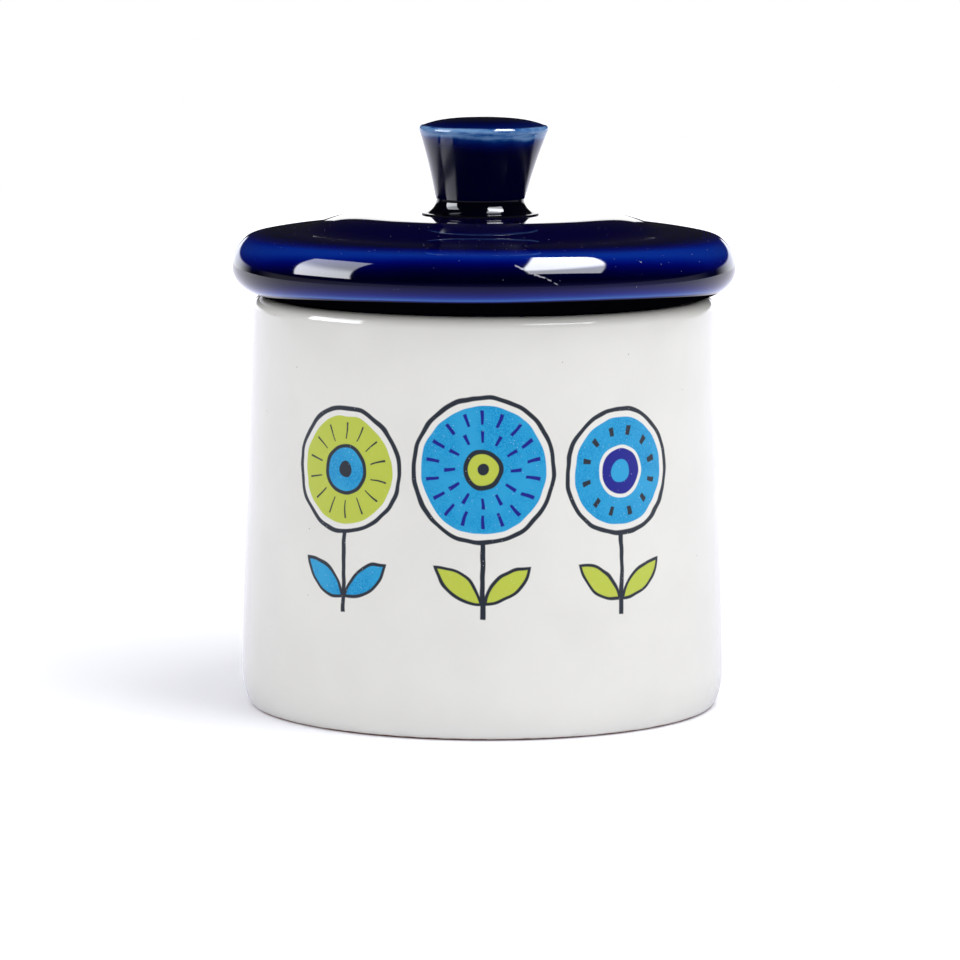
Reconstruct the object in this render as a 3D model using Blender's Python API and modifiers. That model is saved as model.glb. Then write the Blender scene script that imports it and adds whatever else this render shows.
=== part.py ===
"""Small lidded ceramic jar: a straight-sided pot, a domed lid with a locating ring, and a knob.

The frame is metres with +Z up. The origin is the centre of the foot, on the surface the jar stands on.
All three pieces are turned about the Z axis.
"""
import math

import bpy

MM = 0.001

# Jar body, outside
BODY_HEIGHT = 73.7 * MM
BODY_TOP_RADIUS = 41.5 * MM
BODY_MAX_RADIUS = 43.5 * MM
BODY_BELLY = 0.12 * MM
LIP_OUTER_ROUND = 2.1 * MM
LIP_INNER_ROUND = 1.1 * MM

# Jar body, foot
FOOT_RADIUS = 41.3 * MM
FOOT_ROUND_HEIGHT = 7.0 * MM
FOOT_RING_WIDTH = 3.2 * MM
FOOT_RECESS_DEPTH = 1.4 * MM
FOOT_RECESS_ROUND = 0.9 * MM

# Jar body, inside
WALL = 4.0 * MM
FLOOR = 4.6 * MM
FLOOR_CORNER_ROUND = 6.0 * MM

# How the lid sits on the body
SEAT_GAP = 0.3 * MM
RING_CLEARANCE = 0.7 * MM

# Lid, rim and dome
LID_RADIUS = 45.15 * MM
RIM_LOWER_HEIGHT = 4.8 * MM
RIM_LOWER_WIDTH = 6.6 * MM
RIM_UPPER_ROUND = 6.8 * MM
SHOULDER_ROUND = 2.5 * MM
SHOULDER_ANGLE = math.radians(49.6)
DOME_EDGE_ANGLE = math.radians(78.0)
HOLLOW_ANGLE = math.radians(4.3)
HOLLOW_ROUND = 16.4 * MM
BREAK_ANGLE = math.radians(21.2)
BREAK_ROUND = 25.0 * MM
TABLE_RADIUS = 20.5 * MM

# Lid, underside
RING_DEPTH = 5.5 * MM
RING_WIDTH = 3.4 * MM
RING_ROUND = 0.9 * MM
RING_ROOT_ROUND = 0.8 * MM
LID_THICKNESS = 5.0 * MM
LID_CEILING_ROUND = 3.0 * MM
LID_CEILING_RISE = 2.2 * MM

# Knob, with its flared foot
KNOB_FOOT_RADIUS = 10.5 * MM
KNOB_FOOT_EDGE = 0.25 * MM
KNOB_FLARE_HEIGHT = 2.6 * MM
KNOB_NECK_RADIUS = 7.9 * MM
KNOB_SEAM_STEP = 0.12 * MM
KNOB_SIDE_HEIGHT = 12.3 * MM
KNOB_TOP_RADIUS = 11.65 * MM
KNOB_SIDE_BOW = 0.38 * MM
KNOB_EDGE_ROUND = 0.85 * MM
KNOB_CROWN = 1.5 * MM

# Facets
BODY_FACETS = 64
KNOB_FACETS = 48
WALL_STEPS = 8
CROWN_STEPS = 7
DOME_STEPS = 4
CEILING_STEPS = 4
ROUND_STEPS = 4
RIM_STEPS = 7
SHOULDER_STEPS = 3
FLARE_STEPS = 6
SIDE_STEPS = 6
MERGE_DISTANCE = 0.00005

# Places that follow from the sizes above
LID_SEAT_Z = BODY_HEIGHT + SEAT_GAP
RIM_MIDDLE_Z = LID_SEAT_Z + RIM_LOWER_HEIGHT
RIM_CENTRE_RADIUS = LID_RADIUS - RIM_UPPER_ROUND
SHOULDER_CENTRE_RADIUS = RIM_CENTRE_RADIUS + (RIM_UPPER_ROUND - SHOULDER_ROUND) * math.cos(SHOULDER_ANGLE)
SHOULDER_CENTRE_Z = RIM_MIDDLE_Z + (RIM_UPPER_ROUND - SHOULDER_ROUND) * math.sin(SHOULDER_ANGLE)
DOME_EDGE_RADIUS = SHOULDER_CENTRE_RADIUS + SHOULDER_ROUND * math.cos(DOME_EDGE_ANGLE)
DOME_EDGE_Z = SHOULDER_CENTRE_Z + SHOULDER_ROUND * math.sin(DOME_EDGE_ANGLE)
BREAK_END_RADIUS = TABLE_RADIUS + BREAK_ROUND * math.sin(BREAK_ANGLE)
HOLLOW_END_RADIUS = BREAK_END_RADIUS + HOLLOW_ROUND * (math.sin(BREAK_ANGLE) - math.sin(HOLLOW_ANGLE))
DOME_ROUND = (DOME_EDGE_RADIUS - HOLLOW_END_RADIUS) / (math.cos(DOME_EDGE_ANGLE) - math.sin(HOLLOW_ANGLE))
HOLLOW_END_Z = DOME_EDGE_Z + DOME_ROUND * (math.cos(HOLLOW_ANGLE) - math.sin(DOME_EDGE_ANGLE))
BREAK_END_Z = HOLLOW_END_Z + HOLLOW_ROUND * (math.cos(HOLLOW_ANGLE) - math.cos(BREAK_ANGLE))
TABLE_Z = BREAK_END_Z + BREAK_ROUND * (1 - math.cos(BREAK_ANGLE))
RING_OUTER_RADIUS = BODY_TOP_RADIUS - WALL - RING_CLEARANCE
RING_INNER_RADIUS = RING_OUTER_RADIUS - RING_WIDTH


def clear_scene():
    """Remove the objects of the scene that the file opened with."""
    for old in list(bpy.data.objects):
        bpy.data.objects.remove(old, do_unlink=True)


def arc(centre, radii, start, end, steps):
    """Points of an elliptical arc, both ends included; the angles are in degrees."""
    points = []
    for step in range(steps + 1):
        angle = math.radians(start + (end - start) * step / steps)
        points.append((centre[0] + radii[0] * math.cos(angle), centre[1] + radii[1] * math.sin(angle)))
    return points


def run(start_share, end_share, steps, radius_at, height_at):
    """Points of a smooth stretch that radius_at and height_at give for a share from 0 to 1."""
    points = []
    for step in range(steps + 1):
        share = start_share + (end_share - start_share) * step / steps
        points.append((radius_at(share), height_at(share)))
    return points


def body_outer_radius(share):
    """Outer radius of the wall, from 0 at the top of the foot's round to 1 at the lip's round."""
    straight = BODY_MAX_RADIUS + (BODY_TOP_RADIUS - BODY_MAX_RADIUS) * share
    return straight + BODY_BELLY * 4 * share * (1 - share)


def body_profile():
    """Half outline of the body: inner floor, inner wall, lip, outer wall, foot ring, underside."""
    floor_z = FOOT_RECESS_DEPTH + FLOOR
    lip_base_z = BODY_HEIGHT - LIP_OUTER_ROUND
    inner_foot_radius = BODY_MAX_RADIUS - WALL
    inner_top_radius = BODY_TOP_RADIUS - WALL
    inner_wall_low = floor_z + FLOOR_CORNER_ROUND
    inner_wall_top = BODY_HEIGHT - LIP_INNER_ROUND
    ring_inner_radius = FOOT_RADIUS - FOOT_RING_WIDTH

    points = [(0, floor_z)]
    points += arc((inner_foot_radius - FLOOR_CORNER_ROUND, inner_wall_low),
                  (FLOOR_CORNER_ROUND, FLOOR_CORNER_ROUND), -90, 0, ROUND_STEPS)
    points += run(0, 1, WALL_STEPS, lambda share: body_outer_radius(share) - WALL,
                  lambda share: inner_wall_low + (inner_wall_top - inner_wall_low) * share)[1:]
    points += arc((inner_top_radius + LIP_INNER_ROUND, inner_wall_top),
                  (LIP_INNER_ROUND, LIP_INNER_ROUND), 180, 90, ROUND_STEPS)[1:]
    points += arc((BODY_TOP_RADIUS - LIP_OUTER_ROUND, lip_base_z),
                  (LIP_OUTER_ROUND, LIP_OUTER_ROUND), 90, 0, ROUND_STEPS)
    points += run(1, 0, WALL_STEPS, body_outer_radius,
                  lambda share: FOOT_ROUND_HEIGHT + (lip_base_z - FOOT_ROUND_HEIGHT) * share)[1:]
    points += arc((FOOT_RADIUS, FOOT_ROUND_HEIGHT),
                  (BODY_MAX_RADIUS - FOOT_RADIUS, FOOT_ROUND_HEIGHT), 0, -90, RIM_STEPS)[1:]
    points.append((ring_inner_radius, 0))
    points += arc((ring_inner_radius - FOOT_RECESS_ROUND, FOOT_RECESS_DEPTH - FOOT_RECESS_ROUND),
                  (FOOT_RECESS_ROUND, FOOT_RECESS_ROUND), 0, 90, ROUND_STEPS)
    points.append((0, FOOT_RECESS_DEPTH))
    return points


def lid_profile():
    """Half outline of the lid: raised table, dished slope, shoulder, rim, seat, locating ring, ceiling."""
    ring_foot_z = LID_SEAT_Z - RING_DEPTH
    ceiling_radius = RING_INNER_RADIUS - LID_CEILING_ROUND
    ceiling_edge_z = HOLLOW_END_Z - LID_THICKNESS
    break_degrees = math.degrees(BREAK_ANGLE)
    hollow_degrees = math.degrees(HOLLOW_ANGLE)

    points = [(0, TABLE_Z)]
    points += arc((TABLE_RADIUS, TABLE_Z - BREAK_ROUND), (BREAK_ROUND, BREAK_ROUND),
                  90, 90 - break_degrees, DOME_STEPS)
    points += arc((BREAK_END_RADIUS + HOLLOW_ROUND * math.sin(BREAK_ANGLE),
                   BREAK_END_Z + HOLLOW_ROUND * math.cos(BREAK_ANGLE)), (HOLLOW_ROUND, HOLLOW_ROUND),
                  270 - break_degrees, 270 - hollow_degrees, DOME_STEPS)[1:]
    points += arc((DOME_EDGE_RADIUS - DOME_ROUND * math.cos(DOME_EDGE_ANGLE),
                   DOME_EDGE_Z - DOME_ROUND * math.sin(DOME_EDGE_ANGLE)), (DOME_ROUND, DOME_ROUND),
                  90 - hollow_degrees, math.degrees(DOME_EDGE_ANGLE), DOME_STEPS)[1:]
    points += arc((SHOULDER_CENTRE_RADIUS, SHOULDER_CENTRE_Z), (SHOULDER_ROUND, SHOULDER_ROUND),
                  math.degrees(DOME_EDGE_ANGLE), math.degrees(SHOULDER_ANGLE), SHOULDER_STEPS)[1:]
    points += arc((RIM_CENTRE_RADIUS, RIM_MIDDLE_Z), (RIM_UPPER_ROUND, RIM_UPPER_ROUND),
                  math.degrees(SHOULDER_ANGLE), 0, RIM_STEPS)[1:]
    points += arc((LID_RADIUS - RIM_LOWER_WIDTH, RIM_MIDDLE_Z), (RIM_LOWER_WIDTH, RIM_LOWER_HEIGHT),
                  0, -90, RIM_STEPS)[1:]
    points += arc((RING_OUTER_RADIUS + RING_ROOT_ROUND, LID_SEAT_Z - RING_ROOT_ROUND),
                  (RING_ROOT_ROUND, RING_ROOT_ROUND), 90, 180, ROUND_STEPS)
    points += arc((RING_OUTER_RADIUS - RING_ROUND, ring_foot_z + RING_ROUND),
                  (RING_ROUND, RING_ROUND), 0, -90, ROUND_STEPS)
    points += arc((RING_INNER_RADIUS + RING_ROUND, ring_foot_z + RING_ROUND),
                  (RING_ROUND, RING_ROUND), -90, -180, ROUND_STEPS)
    points += arc((ceiling_radius, ceiling_edge_z - LID_CEILING_ROUND),
                  (LID_CEILING_ROUND, LID_CEILING_ROUND), 0, 90, ROUND_STEPS)
    points += run(1, 0, CEILING_STEPS, lambda share: ceiling_radius * share,
                  lambda share: ceiling_edge_z + LID_CEILING_RISE * (1 - share * share))[1:]
    return points


def knob_profile():
    """Half outline of the knob, from its crown down the tapered side and out over the flared foot."""
    seam_z = TABLE_Z + KNOB_FOOT_EDGE + KNOB_FLARE_HEIGHT
    edge_z = seam_z + KNOB_SIDE_HEIGHT
    side_foot_radius = KNOB_NECK_RADIUS + KNOB_SEAM_STEP
    crown_radius = KNOB_TOP_RADIUS - KNOB_EDGE_ROUND
    crown_edge_z = edge_z + KNOB_EDGE_ROUND

    points = run(0, 1, CROWN_STEPS, lambda share: crown_radius * share,
                 lambda share: crown_edge_z + KNOB_CROWN * (1 - share * share))
    points += arc((crown_radius, edge_z), (KNOB_EDGE_ROUND, KNOB_EDGE_ROUND), 90, 0, ROUND_STEPS)[1:]
    points += run(1, 0, SIDE_STEPS,
                  lambda share: side_foot_radius + (KNOB_TOP_RADIUS - side_foot_radius) * share
                  - KNOB_SIDE_BOW * 4 * share * (1 - share),
                  lambda share: seam_z + KNOB_SIDE_HEIGHT * share)[1:]
    points.append((KNOB_NECK_RADIUS, seam_z))
    points += arc((KNOB_FOOT_RADIUS, seam_z), (KNOB_FOOT_RADIUS - KNOB_NECK_RADIUS, KNOB_FLARE_HEIGHT),
                  180, 270, FLARE_STEPS)[1:]
    points.append((KNOB_FOOT_RADIUS, TABLE_Z))
    points.append((0, TABLE_Z))
    return points


def glazed(name, colour, roughness):
    """A glazed or bare ceramic material of one colour."""
    material = bpy.data.materials.new(name)
    material.use_nodes = True
    shader = material.node_tree.nodes["Principled BSDF"]
    shader.inputs["Base Color"].default_value = (*colour, 1)
    shader.inputs["Roughness"].default_value = roughness
    shader.inputs["Metallic"].default_value = 0
    material.diffuse_color = (*colour, 1)
    return material


def turned(name, points, facets, material, collection):
    """A closed solid turned about Z from a half outline that runs down its outer side."""
    mesh = bpy.data.meshes.new(name)
    edges = [(index, index + 1) for index in range(len(points) - 1)]
    mesh.from_pydata([(radius, 0, height) for radius, height in points], edges, [])
    mesh.materials.append(material)
    piece = bpy.data.objects.new(name, mesh)
    collection.objects.link(piece)
    screw = piece.modifiers.new("Turn", "SCREW")
    screw.axis = "Z"
    screw.angle = 2 * math.pi
    screw.steps = facets
    screw.render_steps = facets
    screw.use_merge_vertices = True
    screw.merge_threshold = MERGE_DISTANCE
    screw.use_smooth_shade = True
    return piece


def build():
    """Make the three pieces of the jar."""
    clear_scene()
    jar = bpy.data.collections.new("ceramic_jar")
    bpy.context.scene.collection.children.link(jar)

    white_glaze = glazed("white_glaze", (0.78, 0.78, 0.75), 0.12)
    blue_glaze = glazed("blue_glaze", (0.004, 0.012, 0.16), 0.08)
    blue_knob_glaze = glazed("blue_knob_glaze", (0.006, 0.02, 0.18), 0.08)

    turned("jar_body", body_profile(), BODY_FACETS, white_glaze, jar)
    turned("lid", lid_profile(), BODY_FACETS, blue_glaze, jar)
    turned("knob", knob_profile(), KNOB_FACETS, blue_knob_glaze, jar)


build()
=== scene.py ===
"""Looks of the small lidded ceramic jar: fine turned surfaces, glazes, soft studio light and the camera.

Lengths are in metres, +Z is up, and the side that the camera sees is -Y.
"""
import math

import bpy
from mathutils import Matrix, Vector


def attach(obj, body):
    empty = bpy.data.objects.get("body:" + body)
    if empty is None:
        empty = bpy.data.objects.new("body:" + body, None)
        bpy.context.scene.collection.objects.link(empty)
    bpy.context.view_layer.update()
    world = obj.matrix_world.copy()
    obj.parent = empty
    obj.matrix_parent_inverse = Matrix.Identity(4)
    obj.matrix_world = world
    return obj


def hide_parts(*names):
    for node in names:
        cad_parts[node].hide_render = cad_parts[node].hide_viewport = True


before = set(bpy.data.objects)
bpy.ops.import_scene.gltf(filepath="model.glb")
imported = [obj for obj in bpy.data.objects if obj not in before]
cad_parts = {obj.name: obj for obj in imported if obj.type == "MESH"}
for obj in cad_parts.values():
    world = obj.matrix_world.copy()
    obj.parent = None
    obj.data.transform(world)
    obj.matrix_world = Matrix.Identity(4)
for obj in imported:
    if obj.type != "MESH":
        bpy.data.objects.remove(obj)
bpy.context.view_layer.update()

MM = 0.001

# Camera: the photograph is square, with the jar's axis a little right of its middle
PHOTO_SIDE = 960
FOCAL_PIXELS = 5309.1
AXIS_PIXEL_X = 483.0
SENSOR_WIDTH = 36.0
CAMERA_DISTANCE = 950 * MM
CAMERA_HEIGHT = 165.4 * MM
CAMERA_PITCH = math.radians(7.51)
CAMERA_ROLL = math.radians(0.25)
CAMERA_NEAR_LIMIT = 50 * MM

# Jar body
BODY_HEIGHT = 73.7 * MM
BODY_TOP_RADIUS = 41.5 * MM
BODY_MAX_RADIUS = 43.5 * MM
BODY_BELLY = 0.12 * MM
LIP_OUTER_ROUND = 2.1 * MM
LIP_INNER_ROUND = 1.1 * MM
FOOT_RADIUS = 41.3 * MM
FOOT_ROUND_HEIGHT = 7.0 * MM
FOOT_RING_WIDTH = 3.2 * MM
FOOT_RECESS_DEPTH = 1.4 * MM
FOOT_RECESS_ROUND = 0.9 * MM
WALL = 4.0 * MM
FLOOR = 4.6 * MM
FLOOR_CORNER_ROUND = 6.0 * MM

# Lid
SEAT_GAP = 0.3 * MM
RING_CLEARANCE = 0.7 * MM
LID_RADIUS = 45.15 * MM
RIM_LOWER_HEIGHT = 4.8 * MM
RIM_LOWER_WIDTH = 6.6 * MM
RIM_UPPER_ROUND = 6.8 * MM
SHOULDER_ROUND = 2.5 * MM
SHOULDER_ANGLE = math.radians(49.6)
DOME_EDGE_ANGLE = math.radians(78.0)
HOLLOW_ANGLE = math.radians(4.3)
HOLLOW_ROUND = 16.4 * MM
BREAK_ANGLE = math.radians(21.2)
BREAK_ROUND = 25.0 * MM
TABLE_RADIUS = 20.5 * MM
RING_DEPTH = 5.5 * MM
RING_WIDTH = 3.4 * MM
RING_ROUND = 0.9 * MM
RING_ROOT_ROUND = 0.8 * MM
LID_THICKNESS = 5.0 * MM
LID_CEILING_ROUND = 3.0 * MM
LID_CEILING_RISE = 2.2 * MM

# Knob
KNOB_FOOT_RADIUS = 10.5 * MM
KNOB_FOOT_EDGE = 0.25 * MM
KNOB_FLARE_HEIGHT = 2.6 * MM
KNOB_NECK_RADIUS = 7.9 * MM
KNOB_SEAM_STEP = 0.12 * MM
KNOB_SIDE_HEIGHT = 12.3 * MM
KNOB_TOP_RADIUS = 11.65 * MM
KNOB_SIDE_BOW = 0.25 * MM
KNOB_EDGE_ROUND = 0.85 * MM
KNOB_CROWN = 1.28 * MM
KNOB_CROWN_POWER = 3.2
KNOB_LEAN = 0.045
KNOB_SHIFT = -0.70 * MM

# Where the painted shade of the gap under the lid's rim begins: high at the front and back, lower at the
# sides
DARK_LINE_Z = 76.55 * MM
DARK_LINE_FALL = 2.0 * MM
DARK_LINE_POWER = 4
DARK_LINE_SLANT = 0.45 * MM

# Facets round the axis, steps along the outlines, and the angle from which an edge is sharp
BODY_FACETS = 192
KNOB_FACETS = 144
WALL_STEPS = 40
CROWN_STEPS = 36
DOME_STEPS = 12
CEILING_STEPS = 16
ROUND_STEPS = 14
RIM_STEPS = 18
SHOULDER_STEPS = 12
FLARE_STEPS = 18
SIDE_STEPS = 30
SHARP_ANGLE = math.radians(40)

# Places that follow from the sizes above
LID_SEAT_Z = BODY_HEIGHT + SEAT_GAP
RIM_MIDDLE_Z = LID_SEAT_Z + RIM_LOWER_HEIGHT
RIM_CENTRE_RADIUS = LID_RADIUS - RIM_UPPER_ROUND
SHOULDER_CENTRE_RADIUS = RIM_CENTRE_RADIUS + (RIM_UPPER_ROUND - SHOULDER_ROUND) * math.cos(SHOULDER_ANGLE)
SHOULDER_CENTRE_Z = RIM_MIDDLE_Z + (RIM_UPPER_ROUND - SHOULDER_ROUND) * math.sin(SHOULDER_ANGLE)
DOME_EDGE_RADIUS = SHOULDER_CENTRE_RADIUS + SHOULDER_ROUND * math.cos(DOME_EDGE_ANGLE)
DOME_EDGE_Z = SHOULDER_CENTRE_Z + SHOULDER_ROUND * math.sin(DOME_EDGE_ANGLE)
BREAK_END_RADIUS = TABLE_RADIUS + BREAK_ROUND * math.sin(BREAK_ANGLE)
HOLLOW_END_RADIUS = BREAK_END_RADIUS + HOLLOW_ROUND * (math.sin(BREAK_ANGLE) - math.sin(HOLLOW_ANGLE))
DOME_ROUND = (DOME_EDGE_RADIUS - HOLLOW_END_RADIUS) / (math.cos(DOME_EDGE_ANGLE) - math.sin(HOLLOW_ANGLE))
HOLLOW_END_Z = DOME_EDGE_Z + DOME_ROUND * (math.cos(HOLLOW_ANGLE) - math.sin(DOME_EDGE_ANGLE))
BREAK_END_Z = HOLLOW_END_Z + HOLLOW_ROUND * (math.cos(HOLLOW_ANGLE) - math.cos(BREAK_ANGLE))
TABLE_Z = BREAK_END_Z + BREAK_ROUND * (1 - math.cos(BREAK_ANGLE))
RING_OUTER_RADIUS = BODY_TOP_RADIUS - WALL - RING_CLEARANCE
RING_INNER_RADIUS = RING_OUTER_RADIUS - RING_WIDTH
KNOB_SEAM_Z = TABLE_Z + KNOB_FOOT_EDGE + KNOB_FLARE_HEIGHT
KNOB_EDGE_Z = KNOB_SEAM_Z + KNOB_SIDE_HEIGHT


def arc(centre, radii, start, end, steps):
    """Points of an elliptical arc, both ends included; the angles are in degrees."""
    points = []
    for step in range(steps + 1):
        angle = math.radians(start + (end - start) * step / steps)
        points.append((centre[0] + radii[0] * math.cos(angle), centre[1] + radii[1] * math.sin(angle)))
    return points


def run(start_share, end_share, steps, radius_at, height_at):
    """Points of a smooth stretch that radius_at and height_at give for a share from 0 to 1."""
    points = []
    for step in range(steps + 1):
        share = start_share + (end_share - start_share) * step / steps
        points.append((radius_at(share), height_at(share)))
    return points


def body_outer_radius(share):
    """Outer radius of the wall, from 0 at the top of the foot's round to 1 at the lip's round."""
    straight = BODY_MAX_RADIUS + (BODY_TOP_RADIUS - BODY_MAX_RADIUS) * share
    return straight + BODY_BELLY * 4 * share * (1 - share)


def body_profile():
    """Half outline of the body: inner floor, inner wall, lip, outer wall, foot ring, underside."""
    floor_z = FOOT_RECESS_DEPTH + FLOOR
    lip_base_z = BODY_HEIGHT - LIP_OUTER_ROUND
    inner_foot_radius = BODY_MAX_RADIUS - WALL
    inner_top_radius = BODY_TOP_RADIUS - WALL
    inner_wall_low = floor_z + FLOOR_CORNER_ROUND
    inner_wall_top = BODY_HEIGHT - LIP_INNER_ROUND
    ring_inner_radius = FOOT_RADIUS - FOOT_RING_WIDTH

    points = [(0, floor_z)]
    points += arc((inner_foot_radius - FLOOR_CORNER_ROUND, inner_wall_low),
                  (FLOOR_CORNER_ROUND, FLOOR_CORNER_ROUND), -90, 0, ROUND_STEPS)
    points += run(0, 1, WALL_STEPS, lambda share: body_outer_radius(share) - WALL,
                  lambda share: inner_wall_low + (inner_wall_top - inner_wall_low) * share)[1:]
    points += arc((inner_top_radius + LIP_INNER_ROUND, inner_wall_top),
                  (LIP_INNER_ROUND, LIP_INNER_ROUND), 180, 90, ROUND_STEPS)[1:]
    points += arc((BODY_TOP_RADIUS - LIP_OUTER_ROUND, lip_base_z),
                  (LIP_OUTER_ROUND, LIP_OUTER_ROUND), 90, 0, ROUND_STEPS)
    points += run(1, 0, WALL_STEPS, body_outer_radius,
                  lambda share: FOOT_ROUND_HEIGHT + (lip_base_z - FOOT_ROUND_HEIGHT) * share)[1:]
    points += arc((FOOT_RADIUS, FOOT_ROUND_HEIGHT),
                  (BODY_MAX_RADIUS - FOOT_RADIUS, FOOT_ROUND_HEIGHT), 0, -90, RIM_STEPS)[1:]
    points.append((ring_inner_radius, 0))
    points += arc((ring_inner_radius - FOOT_RECESS_ROUND, FOOT_RECESS_DEPTH - FOOT_RECESS_ROUND),
                  (FOOT_RECESS_ROUND, FOOT_RECESS_ROUND), 0, 90, ROUND_STEPS)
    points.append((0, FOOT_RECESS_DEPTH))
    return points


def dark_line_height(azimuth):
    """Height on the rim at which the painted shade of the gap under the lid begins: higher at the front and
    back, and to the right.
    """
    aside = math.cos(azimuth)
    return DARK_LINE_Z - DARK_LINE_FALL * aside ** DARK_LINE_POWER + DARK_LINE_SLANT * aside


def lid_profile(azimuth):
    """Half outline of the lid: raised table, dished slope, shoulder, rim, seat, locating ring, ceiling."""
    dark_line_z = dark_line_height(azimuth)
    dark_line_degrees = math.degrees(math.asin((RIM_MIDDLE_Z - dark_line_z) / RIM_LOWER_HEIGHT))
    ring_foot_z = LID_SEAT_Z - RING_DEPTH
    ceiling_radius = RING_INNER_RADIUS - LID_CEILING_ROUND
    ceiling_edge_z = HOLLOW_END_Z - LID_THICKNESS
    break_degrees = math.degrees(BREAK_ANGLE)
    hollow_degrees = math.degrees(HOLLOW_ANGLE)

    points = [(0, TABLE_Z)]
    points += arc((TABLE_RADIUS, TABLE_Z - BREAK_ROUND), (BREAK_ROUND, BREAK_ROUND),
                  90, 90 - break_degrees, DOME_STEPS)
    points += arc((BREAK_END_RADIUS + HOLLOW_ROUND * math.sin(BREAK_ANGLE),
                   BREAK_END_Z + HOLLOW_ROUND * math.cos(BREAK_ANGLE)), (HOLLOW_ROUND, HOLLOW_ROUND),
                  270 - break_degrees, 270 - hollow_degrees, DOME_STEPS)[1:]
    points += arc((DOME_EDGE_RADIUS - DOME_ROUND * math.cos(DOME_EDGE_ANGLE),
                   DOME_EDGE_Z - DOME_ROUND * math.sin(DOME_EDGE_ANGLE)), (DOME_ROUND, DOME_ROUND),
                  90 - hollow_degrees, math.degrees(DOME_EDGE_ANGLE), DOME_STEPS)[1:]
    points += arc((SHOULDER_CENTRE_RADIUS, SHOULDER_CENTRE_Z), (SHOULDER_ROUND, SHOULDER_ROUND),
                  math.degrees(DOME_EDGE_ANGLE), math.degrees(SHOULDER_ANGLE), SHOULDER_STEPS)[1:]
    points += arc((RIM_CENTRE_RADIUS, RIM_MIDDLE_Z), (RIM_UPPER_ROUND, RIM_UPPER_ROUND),
                  math.degrees(SHOULDER_ANGLE), 0, RIM_STEPS)[1:]
    points += arc((LID_RADIUS - RIM_LOWER_WIDTH, RIM_MIDDLE_Z), (RIM_LOWER_WIDTH, RIM_LOWER_HEIGHT),
                  0, -dark_line_degrees, RIM_STEPS)[1:]
    # From the dark line down to the rim's bottom the rows take the underside's painted shade
    painted_shade_from = len(points) - 1
    points += arc((LID_RADIUS - RIM_LOWER_WIDTH, RIM_MIDDLE_Z), (RIM_LOWER_WIDTH, RIM_LOWER_HEIGHT),
                  -dark_line_degrees, -90, RIM_STEPS)[1:]
    painted_shade_to = len(points)
    points += arc((RING_OUTER_RADIUS + RING_ROOT_ROUND, LID_SEAT_Z - RING_ROOT_ROUND),
                  (RING_ROOT_ROUND, RING_ROOT_ROUND), 90, 180, ROUND_STEPS)
    points += arc((RING_OUTER_RADIUS - RING_ROUND, ring_foot_z + RING_ROUND),
                  (RING_ROUND, RING_ROUND), 0, -90, ROUND_STEPS)
    points += arc((RING_INNER_RADIUS + RING_ROUND, ring_foot_z + RING_ROUND),
                  (RING_ROUND, RING_ROUND), -90, -180, ROUND_STEPS)
    points += arc((ceiling_radius, ceiling_edge_z - LID_CEILING_ROUND),
                  (LID_CEILING_ROUND, LID_CEILING_ROUND), 0, 90, ROUND_STEPS)
    points += run(1, 0, CEILING_STEPS, lambda share: ceiling_radius * share,
                  lambda share: ceiling_edge_z + LID_CEILING_RISE * (1 - share * share))[1:]
    return points, painted_shade_from, painted_shade_to


def knob_profile():
    """Half outline of the knob, from its crown down the tapered side and out over the flared foot."""
    side_foot_radius = KNOB_NECK_RADIUS + KNOB_SEAM_STEP
    crown_radius = KNOB_TOP_RADIUS - KNOB_EDGE_ROUND
    crown_edge_z = KNOB_EDGE_Z + KNOB_EDGE_ROUND

    points = run(0, 1, CROWN_STEPS, lambda share: crown_radius * share,
                 lambda share: crown_edge_z + KNOB_CROWN * (1 - share ** KNOB_CROWN_POWER))
    points += arc((crown_radius, KNOB_EDGE_Z), (KNOB_EDGE_ROUND, KNOB_EDGE_ROUND), 90, 0, ROUND_STEPS)[1:]
    points += run(1, 0, SIDE_STEPS,
                  lambda share: side_foot_radius + (KNOB_TOP_RADIUS - side_foot_radius) * share
                  - KNOB_SIDE_BOW * 4 * share * (1 - share),
                  lambda share: KNOB_SEAM_Z + KNOB_SIDE_HEIGHT * share)[1:]
    points.append((KNOB_NECK_RADIUS, KNOB_SEAM_Z))
    points += arc((KNOB_FOOT_RADIUS, KNOB_SEAM_Z), (KNOB_FOOT_RADIUS - KNOB_NECK_RADIUS, KNOB_FLARE_HEIGHT),
                  180, 270, FLARE_STEPS)[1:]
    points.append((KNOB_FOOT_RADIUS, TABLE_Z))
    points.append((0, TABLE_Z))
    return points


def turned(name, profile_at, facets, materials, second_from=0, second_to=0):
    """A closed mesh turned about Z from half outlines by azimuth, whose ends lie on the axis.

    Between the rows second_from and second_to it takes the second material.
    """
    outlines = [profile_at(2 * math.pi * step / facets) for step in range(facets)]
    rows = len(outlines[0])
    vertices = []
    rings = []
    for row in range(rows):
        if outlines[0][row][0] == 0:
            rings.append([len(vertices)])
            vertices.append((0, 0, outlines[0][row][1]))
            continue
        ring = []
        for step in range(facets):
            angle = 2 * math.pi * step / facets
            radius, height = outlines[step][row]
            ring.append(len(vertices))
            vertices.append((radius * math.cos(angle), radius * math.sin(angle), height))
        rings.append(ring)
    faces = []
    slots = []
    for row, (upper, lower) in enumerate(zip(rings, rings[1:])):
        for step in range(facets):
            after = (step + 1) % facets
            if len(upper) == 1:
                faces.append((upper[0], lower[step], lower[after]))
            elif len(lower) == 1:
                faces.append((upper[step], lower[0], upper[after]))
            else:
                faces.append((upper[step], lower[step], lower[after], upper[after]))
            slots.append(1 if second_from <= row < second_to else 0)
    mesh = bpy.data.meshes.new(name)
    mesh.from_pydata(vertices, [], faces)
    for material in materials:
        mesh.materials.append(material)
    mesh.polygons.foreach_set("material_index", slots)
    mesh.shade_smooth()
    mesh.set_sharp_from_angle(angle=SHARP_ANGLE)
    piece = bpy.data.objects.new(name, mesh)
    bpy.context.scene.collection.objects.link(piece)
    return piece


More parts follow.
